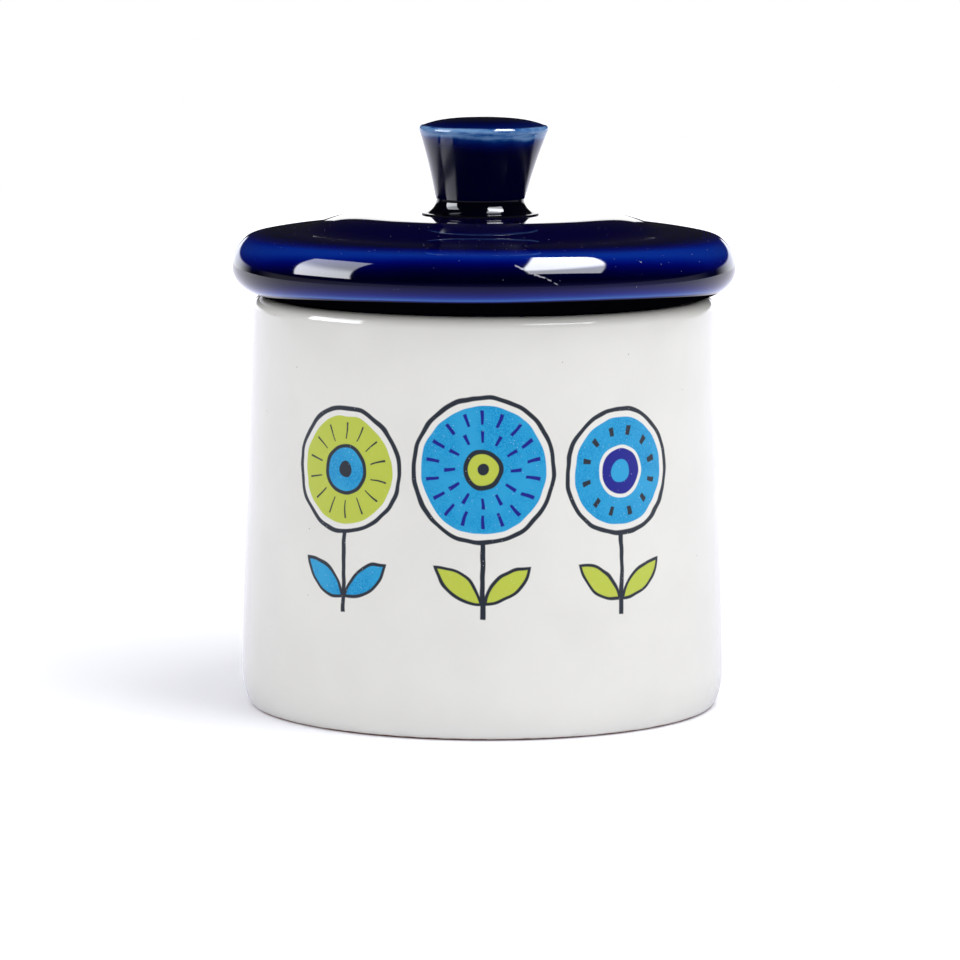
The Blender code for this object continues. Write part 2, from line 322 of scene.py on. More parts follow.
class Field:
    """A number or a colour in a material, with arithmetic that adds the nodes for it."""

    def __init__(self, tree, socket):
        self.tree = tree
        self.socket = socket

    def math(self, operation, *others):
        node = self.tree.nodes.new("ShaderNodeMath")
        node.operation = operation
        for place, item in enumerate((self,) + others):
            if isinstance(item, Field):
                self.tree.links.new(item.socket, node.inputs[place])
            else:
                node.inputs[place].default_value = item
        return Field(self.tree, node.outputs[0])

    def __add__(self, other):
        return self.math("ADD", other)

    def __sub__(self, other):
        return self.math("SUBTRACT", other)

    def __mul__(self, other):
        return self.math("MULTIPLY", other)

    def ramp(self, low, high, smooth=True):
        """0 below low, 1 above high; low may be the larger of the two, which turns it round."""
        node = self.tree.nodes.new("ShaderNodeMapRange")
        node.interpolation_type = "SMOOTHSTEP" if smooth else "LINEAR"
        node.inputs["From Min"].default_value = low
        node.inputs["From Max"].default_value = high
        self.tree.links.new(self.socket, node.inputs["Value"])
        return Field(self.tree, node.outputs[0])


# A mix node's sockets: the share, then two of each kind, and the results
MIX_SHARE = 0
MIX_NUMBERS = (2, 3)
MIX_NUMBER_RESULT = 0
MIX_COLOURS = (6, 7)
MIX_COLOUR_RESULT = 2


def painted(share, below, above):
    """The colour below where share is 0 and the colour above where it is 1."""
    tree = share.tree
    node = tree.nodes.new("ShaderNodeMix")
    node.data_type = "RGBA"
    tree.links.new(share.socket, node.inputs[MIX_SHARE])
    for place, item in zip(MIX_COLOURS, (below, above)):
        if isinstance(item, Field):
            tree.links.new(item.socket, node.inputs[place])
        else:
            node.inputs[place].default_value = (*item, 1)
    return Field(tree, node.outputs[MIX_COLOUR_RESULT])


def blended(share, below, above):
    """The number below where share is 0 and the number above where it is 1."""
    tree = share.tree
    node = tree.nodes.new("ShaderNodeMix")
    tree.links.new(share.socket, node.inputs[MIX_SHARE])
    for place, item in zip(MIX_NUMBERS, (below, above)):
        if isinstance(item, Field):
            tree.links.new(item.socket, node.inputs[place])
        else:
            node.inputs[place].default_value = item
    return Field(tree, node.outputs[MIX_NUMBER_RESULT])


def srgb(red, green, blue):
    """Linear colour of an 8-bit display colour, by the sRGB curve."""
    linear = []
    for part in (red, green, blue):
        part = part / 255
        linear.append(part / 12.92 if part <= 0.04045 else ((part + 0.055) / 1.055) ** 2.4)
    return tuple(linear)


def glaze_material(name):
    """A new material with its tree, shader and object coordinates in millimetres."""
    material = bpy.data.materials.new(name)
    material.use_nodes = True
    tree = material.node_tree
    shader = tree.nodes["Principled BSDF"]
    coordinates = tree.nodes.new("ShaderNodeTexCoord")
    scaled = tree.nodes.new("ShaderNodeVectorMath")
    scaled.operation = "SCALE"
    scaled.inputs["Scale"].default_value = 1 / MM
    tree.links.new(coordinates.outputs["Object"], scaled.inputs[0])
    split = tree.nodes.new("ShaderNodeSeparateXYZ")
    tree.links.new(scaled.outputs[0], split.inputs[0])
    x, y, z = (Field(tree, split.outputs[place]) for place in range(3))
    return material, tree, shader, Field(tree, scaled.outputs[0]), x, y, z


def noise(place, size, detail=3.0, roughness=0.5):
    """Soft noise from 0 to 1 whose lumps are about size across, in the units of place."""
    node = place.tree.nodes.new("ShaderNodeTexNoise")
    node.inputs["Scale"].default_value = 1 / size
    node.inputs["Detail"].default_value = detail
    node.inputs["Roughness"].default_value = roughness
    place.tree.links.new(place.socket, node.inputs["Vector"])
    return Field(place.tree, node.outputs["Fac"])


def moved(place, amount):
    """The same place moved by an amount along each axis, so that a noise there is another one."""
    node = place.tree.nodes.new("ShaderNodeVectorMath")
    node.operation = "ADD"
    node.inputs[1].default_value = (amount, amount, amount)
    place.tree.links.new(place.socket, node.inputs[0])
    return Field(place.tree, node.outputs[0])


# How much of a speck's radius has its full strength
SPECK_CORE_SHARE = 0.6


def specks(place, size, radius):
    """1 in small round spots where the surface cuts through dots, one for each cell of the given size."""
    node = place.tree.nodes.new("ShaderNodeTexVoronoi")
    node.inputs["Scale"].default_value = 1 / size
    place.tree.links.new(place.socket, node.inputs["Vector"])
    return Field(place.tree, node.outputs["Distance"]).ramp(radius / size, SPECK_CORE_SHARE * radius / size)


def set_bump(tree, shader, height, distance):
    """Lets a height field, in shares of distance, tilt the shader's normal."""
    bump = tree.nodes.new("ShaderNodeBump")
    bump.inputs["Distance"].default_value = distance
    tree.links.new(height.socket, bump.inputs["Height"])
    tree.links.new(bump.outputs[0], shader.inputs["Normal"])


class Paint:
    """A colour that is painted over, layer by layer."""

    def __init__(self, colour):
        self.colour = colour

    def over(self, share, colour):
        self.colour = painted(share, self.colour, colour)


# Half the width of a painted edge, in millimetres
EDGE = 0.10


def inside(distance, radius):
    """1 within a radius of a distance field, with a soft edge."""
    return distance.ramp(radius + EDGE, radius - EDGE)


def ring(distance, radius, width):
    """1 on a ring of the given width."""
    return inside((distance - radius).math("ABSOLUTE"), width / 2)


def distance_to(u, v, centre):
    """Distance of the place u, v from a centre."""
    aside = u - centre[0]
    above = v - centre[1]
    return (aside * aside + above * above).math("SQRT")


# Widens a sector's place, from 0 to 0.5, to a range in which the soft edge is narrow
SECTOR_SCALE = 4


def sectors(u, v, centre, count, share, turn):
    """1 in a number of even sectors round a centre; share is how much of each is filled."""
    angle = (v - centre[1]).math("ARCTAN2", u - centre[0])
    place = (angle * (count / (2 * math.pi)) + turn).math("FRACT")
    return inside((place - 0.5).math("ABSOLUTE") * SECTOR_SCALE, share * SECTOR_SCALE / 2)


def dashes(u, v, centre, distance, radius, length, count, share, turn):
    """1 on even dashes that point to the centre, on a ring; turn is a share of one dash's sector."""
    return ring(distance, radius, length) * sectors(u, v, centre, count, share, turn)


def leaf(u, v, base, angle, length, width):
    """Distance field of a pointed leaf from its base, at an angle to the right of straight up."""
    half = length / 2
    radius = (half * half + width * width / 4) / width
    along = (math.sin(angle), math.cos(angle))
    middle = (base[0] + along[0] * half, base[1] + along[1] * half)
    offset = radius - width / 2
    one = distance_to(u, v, (middle[0] + along[1] * offset, middle[1] - along[0] * offset))
    two = distance_to(u, v, (middle[0] - along[1] * offset, middle[1] + along[0] * offset))
    return one.math("MAXIMUM", two) - radius


# Colours of the white glaze, the bare clay and the paints
WHITE = srgb(231, 230, 225)
WHITE_SHADE = srgb(227, 226, 221)
CLAY = srgb(120, 78, 66)
CYAN = srgb(0, 138, 198)
CYAN_PALE = srgb(44, 160, 212)
LIME = srgb(188, 200, 76)
CHARCOAL = srgb(40, 46, 56)
NAVY = srgb(26, 30, 138)

# The decoration, in millimetres: the arc along the wall from the front's middle, and the height
FLOWER_HEIGHT = 46.5
FLOWER_SPACING = 26.0
CENTRE_FLOWER = (0.0, 47.5)
CENTRE_FLOWER_RADIUS = 13.0
LEFT_FLOWER = (-FLOWER_SPACING, FLOWER_HEIGHT)
RIGHT_FLOWER = (FLOWER_SPACING, FLOWER_HEIGHT)
SIDE_FLOWER_RADIUS = 11.2
STEM_FOOT = 21.5
STEM_WIDTH = 0.9
OUTLINE_WIDTH = 0.8
LEAF_OUTLINE_SHARE = 0.7
LEAF_LENGTH = 11.0
LEAF_WIDTH = 4.4
LEAF_ANGLE = math.radians(52)
LEAF_BASE_HEIGHT = 24.0

# Discs of the flower heads, from the outside in
CENTRE_HEAD = 11.2
CENTRE_EYE_RIM = 3.6
CENTRE_EYE = 2.8
CENTRE_PUPIL = 1.1
SIDE_HEAD = 9.4
LEFT_EYE_RIM = 4.4
LEFT_EYE = 3.7
LEFT_PUPIL = 1.3
RIGHT_EYE_RIM = 4.6
RIGHT_EYE = 4.0
RIGHT_PUPIL = 2.0

# Rings of dashes: middle radius, length, number, filled share and turn
CENTRE_OUTER_DASHES = (9.1, 2.4, 18, 0.19, 0.0)
CENTRE_INNER_DASHES = (5.9, 2.0, 12, 0.19, 0.5)
LEFT_DASHES = (6.9, 3.0, 14, 0.09, 0.0)
RIGHT_DASHES = (7.2, 1.6, 12, 0.24, 0.0)

# How the brush wandered and how its colour varies: lump sizes, reach and soft limits
WOBBLE_SIZE = 5.0
WOBBLE_APART = 40.0
WOBBLE = 1.1
GRAIN_SIZE = 0.28
GRAIN_LIMITS = (0.30, 0.70)
TONE_SIZE = 7.0
TONE_LIMITS = (0.35, 0.65)
PALE_SPECK_CELL = 0.9
PALE_SPECK_RADIUS = 0.10
PALE_SPECK_SHARE = 0.35
OUTER_WALL_LIMITS = (40.2, 40.8)
FRONT_LIMITS = (0, -2)


def flower_outline(u, v, paint, centre, radius, leaf_colour):
    """Stem, two leaves, the white round head and its dark outline."""
    stem = inside((u - centre[0]).math("ABSOLUTE"), STEM_WIDTH / 2)
    upright = v.ramp(STEM_FOOT - EDGE, STEM_FOOT + EDGE) * v.ramp(centre[1] + EDGE, centre[1] - EDGE)
    for side in (-1, 1):
        shape = leaf(u, v, (centre[0], LEAF_BASE_HEIGHT), side * LEAF_ANGLE, LEAF_LENGTH, LEAF_WIDTH)
        paint.over(inside(shape, 0), CHARCOAL)
        paint.over(inside(shape, -OUTLINE_WIDTH * LEAF_OUTLINE_SHARE), leaf_colour)
    paint.over(stem * upright, CHARCOAL)
    distance = distance_to(u, v, centre)
    paint.over(inside(distance, radius), CHARCOAL)
    paint.over(inside(distance, radius - OUTLINE_WIDTH), WHITE)
    return distance


def decoration(place, x, y, z, ground):
    """Three round seed heads on stems, painted on the front of the wall over the ground colour."""
    wobble_u = noise(place, WOBBLE_SIZE, detail=1.0) - 0.5
    wobble_v = noise(moved(place, WOBBLE_APART), WOBBLE_SIZE, detail=1.0) - 0.5
    u = x.math("ARCTAN2", y * -1) * (BODY_MAX_RADIUS / MM) + wobble_u * WOBBLE
    v = z + wobble_v * WOBBLE
    grain = noise(place, GRAIN_SIZE, detail=1.0)
    tone = noise(place, TONE_SIZE, detail=2.0)
    toned = painted(tone.ramp(*TONE_LIMITS), CYAN, CYAN_PALE)
    cyan = painted(grain.ramp(*GRAIN_LIMITS), toned, CYAN_PALE)
    paint = Paint(ground)

    distance = flower_outline(u, v, paint, CENTRE_FLOWER, CENTRE_FLOWER_RADIUS, LIME)
    paint.over(inside(distance, CENTRE_HEAD), cyan)
    paint.over(dashes(u, v, CENTRE_FLOWER, distance, *CENTRE_OUTER_DASHES), NAVY)
    paint.over(dashes(u, v, CENTRE_FLOWER, distance, *CENTRE_INNER_DASHES), NAVY)
    paint.over(inside(distance, CENTRE_EYE_RIM), CHARCOAL)
    paint.over(inside(distance, CENTRE_EYE), LIME)
    paint.over(inside(distance, CENTRE_PUPIL), CHARCOAL)

    distance = flower_outline(u, v, paint, LEFT_FLOWER, SIDE_FLOWER_RADIUS, cyan)
    paint.over(inside(distance, SIDE_HEAD), LIME)
    paint.over(dashes(u, v, LEFT_FLOWER, distance, *LEFT_DASHES), CHARCOAL)
    paint.over(inside(distance, LEFT_EYE_RIM), CHARCOAL)
    paint.over(inside(distance, LEFT_EYE), cyan)
    paint.over(inside(distance, LEFT_PUPIL), CHARCOAL)

    distance = flower_outline(u, v, paint, RIGHT_FLOWER, SIDE_FLOWER_RADIUS, LIME)
    paint.over(inside(distance, SIDE_HEAD), cyan)
    paint.over(dashes(u, v, RIGHT_FLOWER, distance, *RIGHT_DASHES), CHARCOAL)
    paint.over(inside(distance, RIGHT_EYE_RIM), WHITE)
    paint.over(inside(distance, RIGHT_EYE), NAVY)
    paint.over(inside(distance, RIGHT_PUPIL), CYAN_PALE)

    pale_specks = specks(place, PALE_SPECK_CELL, PALE_SPECK_RADIUS)
    outer_wall = ((x * x + y * y).math("SQRT")).ramp(*OUTER_WALL_LIMITS)
    before = y.ramp(*FRONT_LIMITS)
    coated = painted(pale_specks * PALE_SPECK_SHARE, paint.colour, WHITE)
    return painted(outer_wall * before, ground, coated)


# White glaze: lump sizes and limits in millimetres, shares and roughness
MOTTLE_SIZE = 16.0
MOTTLE_LIMITS = (0.3, 0.7)
IRON_CELL = 5.5
IRON_RADIUS = 0.16
IRON_SHARE = 0.5
BARE_FOOT_LIMITS = (0.62, 0.42)
BARE_FOOT_WANDER_SIZE = 3.0
BARE_FOOT_WANDER = 0.4
GLOSS_LUMP_SIZE = 9.0
WHITE_ROUGHNESS = 0.04
WHITE_ROUGHNESS_SPREAD = 0.05
CLAY_ROUGHNESS = 0.8
WHITE_WAVE_SIZE = 11.0
WHITE_WAVE_HEIGHT = 0.05 * MM


def white_glaze():
    """Off-white glossy glaze with the painted front and the bare clay of the foot ring."""
    material, tree, shader, place, x, y, z = glaze_material("white_glaze_surface")
    mottle = noise(place, MOTTLE_SIZE)
    ground = painted(mottle.ramp(*MOTTLE_LIMITS), WHITE_SHADE, WHITE)
    iron = specks(place, IRON_CELL, IRON_RADIUS)
    ground = painted(iron * IRON_SHARE, ground, CHARCOAL)
    colour = decoration(place, x, y, z, ground)
    foot = (z + noise(place, BARE_FOOT_WANDER_SIZE) * BARE_FOOT_WANDER).ramp(*BARE_FOOT_LIMITS)
    colour = painted(foot, colour, CLAY)
    tree.links.new(colour.socket, shader.inputs["Base Color"])
    gloss = noise(place, GLOSS_LUMP_SIZE) * WHITE_ROUGHNESS_SPREAD + WHITE_ROUGHNESS
    roughness = blended(foot, gloss, CLAY_ROUGHNESS)
    tree.links.new(roughness.socket, shader.inputs["Roughness"])
    set_bump(tree, shader, noise(place, WHITE_WAVE_SIZE, detail=1.0), WHITE_WAVE_HEIGHT)
    return material


# How fast red, green and blue light fade in the blue glazes, for one unit of thickness
LID_FADE = (5.0, 3.0, 1.0)
KNOB_FADE = (3.7, 2.2, 1.0)

# Thickness of the lid's glaze: on the middle, the shoulder, the rim, the rim's lower edge, and its last
# line, which is thick and dark as painted shade above the dark underside
MIDDLE_GLAZE = 3.85
SHOULDER_GLAZE = 1.2
RIM_GLAZE = 5.3
LOWER_GLAZE = 0.7
SHADE_LINE_GLAZE = 3.3

# Colours of the lid's slope, of the pale painted reflection over its thin lower glaze, and of what lies on
# it
COBALT_DEEP = srgb(4, 2, 43)
PAINTED_REFLECTION = srgb(177, 173, 208)
PAINTED_REFLECTION_SHARE = 0.05
DUST = srgb(150, 152, 168)
SCRATCH = srgb(178, 178, 190)

# Where the glaze thins and thickens, in millimetres: across the shoulder's band, and up from the line
BAND_SHIFT = 37.75
BAND_TURN = 0.00258
BAND_SLOPE = 0.7071
BAND_INNER_LIMITS = (-0.9, -7.8)
BAND_OUTER_LIMITS = (-0.4, 7.0)
LOWER_LIMITS = (0.5, 4.5)
SHADE_LINE_LIMITS = (0.32, 0.0)
# Where the painted reflection lies, up from the line
REFLECTION_TOP_LIMITS = (3.6, 0.3)
REFLECTION_FOOT_LIMITS = (0.0, 0.3)

# Where the lid's tones meet and how far they wander, in millimetres
TONE_WANDER_SIZE = 9.0
TONE_WANDER = 0.5
LINE_WANDER_SHARE = 0.3
LOWER_UPPER_LIMITS = (79.0, 81.0)
SLOPE_LIMITS = (37.9, 37.6)


def through_glaze(thickness, fade):
    """Colour of the white ground under a glaze in which red, green and blue each fade at their own rate."""
    node = thickness.tree.nodes.new("ShaderNodeCombineColor")
    for place, (rate, level) in enumerate(zip(fade, WHITE)):
        light = (thickness * -rate).math("EXPONENT") * level
        thickness.tree.links.new(light.socket, node.inputs[place])
    return Field(thickness.tree, node.outputs[0])


def lid_colour(place, x, y, z):
    """Cobalt, thick and dark on the faces, thin and bright along the shoulder and the lower edge, with a
    painted reflection over that edge and painted shade along its last line.
    """
    radius = (x * x + y * y).math("SQRT")
    wander = (noise(place, TONE_WANDER_SIZE, detail=1.0) - 0.5) * TONE_WANDER
    across = (radius - z + BAND_SHIFT + y * y * BAND_TURN) * BAND_SLOPE + wander
    inwards = across.ramp(*BAND_INNER_LIMITS) * (MIDDLE_GLAZE - SHOULDER_GLAZE)
    outwards = across.ramp(*BAND_OUTER_LIMITS) * (RIM_GLAZE - SHOULDER_GLAZE)
    shoulder = through_glaze(inwards + outwards + SHOULDER_GLAZE, LID_FADE)
    # The line at which the rim's underside turns to painted shade, as in dark_line_height
    fall = (x * (MM / LID_RADIUS)).math("POWER", DARK_LINE_POWER) * (DARK_LINE_FALL / MM)
    line = z + fall - x * (DARK_LINE_SLANT / LID_RADIUS) - DARK_LINE_Z / MM
    above_line = line + wander * LINE_WANDER_SHARE
    thinned = blended(above_line.ramp(*LOWER_LIMITS, smooth=False), LOWER_GLAZE, RIM_GLAZE)
    # Thick glaze right at the line darkens it: painted shade next to the dark underside
    lower = through_glaze(blended(above_line.ramp(*SHADE_LINE_LIMITS), thinned, SHADE_LINE_GLAZE), LID_FADE)
    # Painted reflection of the pale body and floor over the rim's lower edge
    painted_reflection = above_line.ramp(*REFLECTION_TOP_LIMITS, smooth=False) * above_line.ramp(*REFLECTION_FOOT_LIMITS)
    lower = painted(painted_reflection * PAINTED_REFLECTION_SHARE, lower, PAINTED_REFLECTION)
    outside = painted(z.ramp(*LOWER_UPPER_LIMITS), lower, shoulder)
    within = radius.ramp(*SLOPE_LIMITS)
    return painted(within, outside, COBALT_DEEP)


# Dust on the lid: cell size and radius for each kind, and a shift that sets it apart, in millimetres
FINE_DUST = (2.2, 0.10)
FINER_DUST_SHIFT = 31.0
FINER_DUST = (1.7, 0.08)
COARSE_DUST_SHIFT = 17.0
COARSE_DUST = (5.0, 0.18)
DUST_LIMITS = (78.0, 79.0)
DUST_SHARE = 0.8
DUST_WORN_SHARE = 0.5

# The scratch on the lid's front: its ends as x and height, and how it breaks up
SCRATCH_START = (5.1, 83.0)
SCRATCH_END = (12.8, 79.6)
SCRATCH_FADE = 0.5
SCRATCH_HALF_WIDTH = 0.10
SCRATCH_WANDER_SIZE = 2.5
SCRATCH_WANDER = 1.2
SCRATCH_BREAK_SIZE = 0.8
SCRATCH_BREAK_LIMITS = (0.42, 0.58)
SCRATCH_FRONT_LIMITS = (-30, -32)
SCRATCH_SHARE = 0.75

# The lid's bare clay foot, gloss and waves
LID_CLAY_LIMITS = (69.0, 68.8)
BLUE_ROUGHNESS = 0.02
LID_ROUGHNESS_SPREAD = 0.04
WORN_ROUGHNESS = 0.7
LID_WAVE_SIZE = 12.0
LID_WAVE_HEIGHT = 0.02 * MM


def lid_dust(place, z):
    """1 in the dust specks, which lie on the lid's upper side."""
    fine = specks(place, *FINE_DUST) + specks(moved(place, FINER_DUST_SHIFT), *FINER_DUST)
    coarse = specks(moved(place, COARSE_DUST_SHIFT), *COARSE_DUST)
    return (fine + coarse).math("MINIMUM", 1.0) * z.ramp(*DUST_LIMITS)


def lid_scratch(place, x, y, z):
    """1 in the broken scratch on the front of the rim."""
    fall = (SCRATCH_END[1] - SCRATCH_START[1]) / (SCRATCH_END[0] - SCRATCH_START[0])
    wander = (noise(place, SCRATCH_WANDER_SIZE) - 0.5) * SCRATCH_WANDER
    off_line = z - SCRATCH_START[1] - (x - SCRATCH_START[0]) * fall + wander
    begun = x.ramp(SCRATCH_START[0], SCRATCH_START[0] + SCRATCH_FADE)
    not_over = x.ramp(SCRATCH_END[0], SCRATCH_END[0] - SCRATCH_FADE)
    broken = noise(place, SCRATCH_BREAK_SIZE, detail=1.0).ramp(*SCRATCH_BREAK_LIMITS)
    front = y.ramp(*SCRATCH_FRONT_LIMITS)
    return inside(off_line.math("ABSOLUTE"), SCRATCH_HALF_WIDTH) * (begun * not_over) * front * broken


def lid_glaze():
    """Glossy cobalt with a little dust and one scratch on its front."""
    material, tree, shader, place, x, y, z = glaze_material("blue_glaze_surface")
    colour = lid_colour(place, x, y, z)
    dust = lid_dust(place, z)
    colour = painted(dust * DUST_SHARE, colour, DUST)
    scratch = lid_scratch(place, x, y, z)
    colour = painted(scratch * SCRATCH_SHARE, colour, SCRATCH)
    bare_foot = z.ramp(*LID_CLAY_LIMITS)
    colour = painted(bare_foot, colour, CLAY)
    tree.links.new(colour.socket, shader.inputs["Base Color"])
    worn = (scratch + dust * DUST_WORN_SHARE).math("MAXIMUM", bare_foot).math("MINIMUM", 1.0)
    gloss = noise(place, GLOSS_LUMP_SIZE) * LID_ROUGHNESS_SPREAD + BLUE_ROUGHNESS
    roughness = blended(worn, gloss, WORN_ROUGHNESS)
    tree.links.new(roughness.socket, shader.inputs["Roughness"])
    set_bump(tree, shader, noise(place, LID_WAVE_SIZE, detail=1.0), LID_WAVE_HEIGHT)
    return material


# The rim's dull underside, nearly black: painted shade of the gap between the lid and the jar's lip
UNDERSIDE_DARK = srgb(1, 1, 3)
UNDERSIDE_PALE = srgb(5, 5, 8)
UNDERSIDE_TONE_SIZE = 2.0
UNDERSIDE_ROUGHNESS_SIZE = 1.5
UNDERSIDE_ROUGHNESS = 0.7
UNDERSIDE_ROUGHNESS_SPREAD = 0.2
UNDERSIDE_GRAIN_SIZE = 0.6
UNDERSIDE_GRAIN_HEIGHT = 0.05 * MM


def lid_painted_shade():
    """The dull, nearly black underside of the rim: painted shade of the gap between the lid and the jar's
    lip.
    """
    material, tree, shader, place = glaze_material("underside_painted_shade_surface")[:4]
    colour = painted(noise(place, UNDERSIDE_TONE_SIZE), UNDERSIDE_DARK, UNDERSIDE_PALE)
    tree.links.new(colour.socket, shader.inputs["Base Color"])
    roughness = noise(place, UNDERSIDE_ROUGHNESS_SIZE) * UNDERSIDE_ROUGHNESS_SPREAD + UNDERSIDE_ROUGHNESS
    tree.links.new(roughness.socket, shader.inputs["Roughness"])
    shader.inputs["Specular IOR Level"].default_value = 0.0
    set_bump(tree, shader, noise(place, UNDERSIDE_GRAIN_SIZE), UNDERSIDE_GRAIN_HEIGHT)
    return material


# The knob's glaze: the pale streaks round its edge, and its thickness on the side and the crown
KNOB_PALE = srgb(56, 102, 160)
KNOB_PALER = srgb(108, 146, 192)
KNOB_MID = srgb(34, 74, 140)
KNOB_FLARE_BLUE = srgb(2, 2, 12)
STREAK_SQUASH = (0.30, 0.30, 1.6)
STREAK_SIZE = 1.2
STREAK_DETAIL = 4.0
STREAK_ROUGHNESS = 0.6
PALER_LIMITS = (0.35, 0.62)
MID_LIMITS = (0.42, 0.30)
KNOB_SIDE_GLAZE = (3.9, 1.0)
KNOB_TOP_GLAZE = (3.8, 2.25)

# Where those tones lie, in millimetres: heights from the knob's edge and its seam, and radii on the crown
SIDE_TONES_FROM_EDGE = (-3.8, -0.8)
PALE_FROM_EDGE = (-1.5, -0.7)
CROWN_FROM_EDGE = (0.62, 0.86)
FLARE_FROM_SEAM = (0.1, -0.3)
RIPPLES_FROM_SEAM = (0, 1)
RIPPLES_FROM_EDGE = (-1.5, -2.5)
TOP_TONE_RADII = (6.0, 10.6)
KNOB_WANDER_SIZE = 3.5
KNOB_WANDER = 1.0
CROWN_WANDER_SHARE = 0.2
TOP_WANDER_SHARE = 0.4
KNOB_TILT = 0.03
KNOB_LUMP_SIZE = 5.0
KNOB_ROUGHNESS_SPREAD = 0.05
RIPPLED_ROUGHNESS = 0.14
KNOB_WAVE_SIZE = 6.0
KNOB_WAVE_HEIGHT = 0.03 * MM


def ramp_from(field, level, limits):
    """A soft step of a field between two limits that are measured from a level."""
    return field.ramp(level + limits[0], level + limits[1])


def knob_glaze():
    """Cobalt glaze of the knob, broken to a streaky pale blue round its top edge."""
    material, tree, shader, place, x, y, z = glaze_material("blue_knob_glaze_surface")
    edge = KNOB_EDGE_Z / MM
    seam = KNOB_SEAM_Z / MM
    squashed = tree.nodes.new("ShaderNodeVectorMath")
    squashed.operation = "MULTIPLY"
    squashed.inputs[1].default_value = STREAK_SQUASH
    tree.links.new(place.socket, squashed.inputs[0])
    streaked = Field(tree, squashed.outputs[0])
    streaks = noise(streaked, STREAK_SIZE, detail=STREAK_DETAIL, roughness=STREAK_ROUGHNESS)
    wander = (noise(place, KNOB_WANDER_SIZE, detail=2.0) - 0.5) * KNOB_WANDER
    height = z + wander + x * KNOB_TILT
    off_axis = x - KNOB_SHIFT / MM
    radius = (off_axis * off_axis + y * y).math("SQRT")
    side_from, side_to = SIDE_TONES_FROM_EDGE
    upwards = height.ramp(edge + side_from, edge + side_to, smooth=False)
    side = through_glaze(blended(upwards, *KNOB_SIDE_GLAZE), KNOB_FADE)
    pale = painted(streaks.ramp(*PALER_LIMITS), KNOB_PALE, KNOB_PALER)
    pale = painted(streaks.ramp(*MID_LIMITS), pale, KNOB_MID)
    outwards = (radius + wander * TOP_WANDER_SHARE).ramp(*TOP_TONE_RADII, smooth=False)
    top = through_glaze(blended(outwards, *KNOB_TOP_GLAZE), KNOB_FADE)
    colour = painted(ramp_from(height, edge, PALE_FROM_EDGE), side, pale)
    colour = painted(ramp_from(z + wander * CROWN_WANDER_SHARE, edge, CROWN_FROM_EDGE), colour, top)
    colour = painted(ramp_from(z, seam, FLARE_FROM_SEAM), colour, KNOB_FLARE_BLUE)
    tree.links.new(colour.socket, shader.inputs["Base Color"])
    rippled = ramp_from(z, seam, RIPPLES_FROM_SEAM) * ramp_from(z, edge, RIPPLES_FROM_EDGE)
    gloss = noise(place, KNOB_LUMP_SIZE) * KNOB_ROUGHNESS_SPREAD + BLUE_ROUGHNESS
    roughness = blended(rippled, gloss, RIPPLED_ROUGHNESS)
    tree.links.new(roughness.socket, shader.inputs["Roughness"])
    set_bump(tree, shader, noise(place, KNOB_WAVE_SIZE, detail=1.0), KNOB_WAVE_HEIGHT)
    return material


def make_jar():
    """The three visible pieces, each in place of its plain solid."""
    body_points = body_profile()[::-1]
    body = turned("jar_body_glazed", lambda azimuth: body_points, BODY_FACETS, [white_glaze()])
    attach(body, "jar")
    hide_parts("jar_body")

    # The lid's rows below the dark line take the painted shade of its underside
    painted_shade_from, painted_shade_to = lid_profile(0)[1:]
    lid = turned("lid_glazed", lambda azimuth: lid_profile(azimuth)[0], BODY_FACETS,
                 [lid_glaze(), lid_painted_shade()], painted_shade_from, painted_shade_to)
    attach(lid, "lid")
    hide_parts("lid")

    knob_points = knob_profile()
    knob = turned("knob_glazed", lambda azimuth: knob_points, KNOB_FACETS, [knob_glaze()])
    for vertex in knob.data.vertices:
        vertex.co.x += KNOB_SHIFT + KNOB_LEAN * max(0, vertex.co.z - KNOB_SEAM_Z)
    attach(knob, "lid")
    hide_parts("knob")


# The floor: its reach in metres and its colour, with light of its own for the camera alone
FLOOR_RADIUS = 1.2
FLOOR_FRONT = 1.1
FLOOR_COLOUR = (0.90, 0.905, 0.965)
FLOOR_OWN_LIGHT = 0.10
FLOOR_FAR_LIGHT = 0.5
FLOOR_FAR_LIMITS = (0.20, 0.60)

# The floor in reflections: bright behind the jar, more so far off, and dim in front of it
FLOOR_GLOSS_COLOUR = (0.88, 0.88, 1.0)
FLOOR_GLOSS_NEAR = 1.25
FLOOR_GLOSS_FAR = 1.45
GLOSS_FAR_LIMITS = (0.12, 0.35)
GLOSS_BEHIND_LIMITS = (-1.0, 0.92)
FRONT_GLOSS = 0.25


